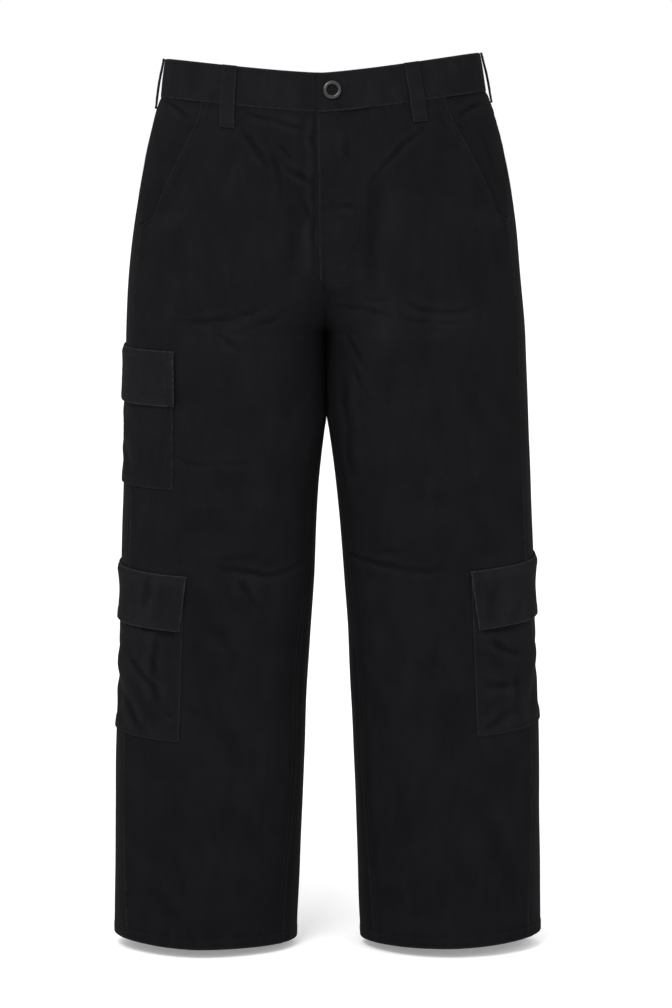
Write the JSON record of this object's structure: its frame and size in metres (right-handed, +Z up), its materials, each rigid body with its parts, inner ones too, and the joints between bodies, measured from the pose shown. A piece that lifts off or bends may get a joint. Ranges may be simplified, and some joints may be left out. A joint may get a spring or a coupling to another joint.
{
  "type": "cargo pants",
  "caption": "Loose straight cargo pants with a buttoned waistband, belt loops, slanted hand pockets and flapped pockets on the thigh and knees.",
  "frame": {"origin": "middle of the waistband's ring, at mid height of the band at the sides", "axes": "front faces -Y, the wearer's left is +X, up is +Z"},
  "size_m": [0.4751, 0.2545, 0.9771],
  "materials": {
    "twill": "matt black cotton twill with a slight blue cast",
    "button": "satin black, four holes"
  },
  "bodies": {
    "root": {"front_left": "twill", "front_right": "twill", "back_left": "twill", "back_right": "twill", "hip_facing_left": "twill", "hip_facing_right": "twill", "waistband": "twill", "loop_front_right": "twill", "loop_front_left": "twill", "loop_side_right": "twill", "loop_side_left": "twill", "loop_back": "twill", "pocket_upper_right_bag": "twill", "pocket_upper_right_flap": "twill", "pocket_lower_right_bag": "twill", "pocket_lower_right_flap": "twill", "pocket_lower_left_bag": "twill", "pocket_lower_left_flap": "twill", "button": "button"}
  },
  "joints": []
}
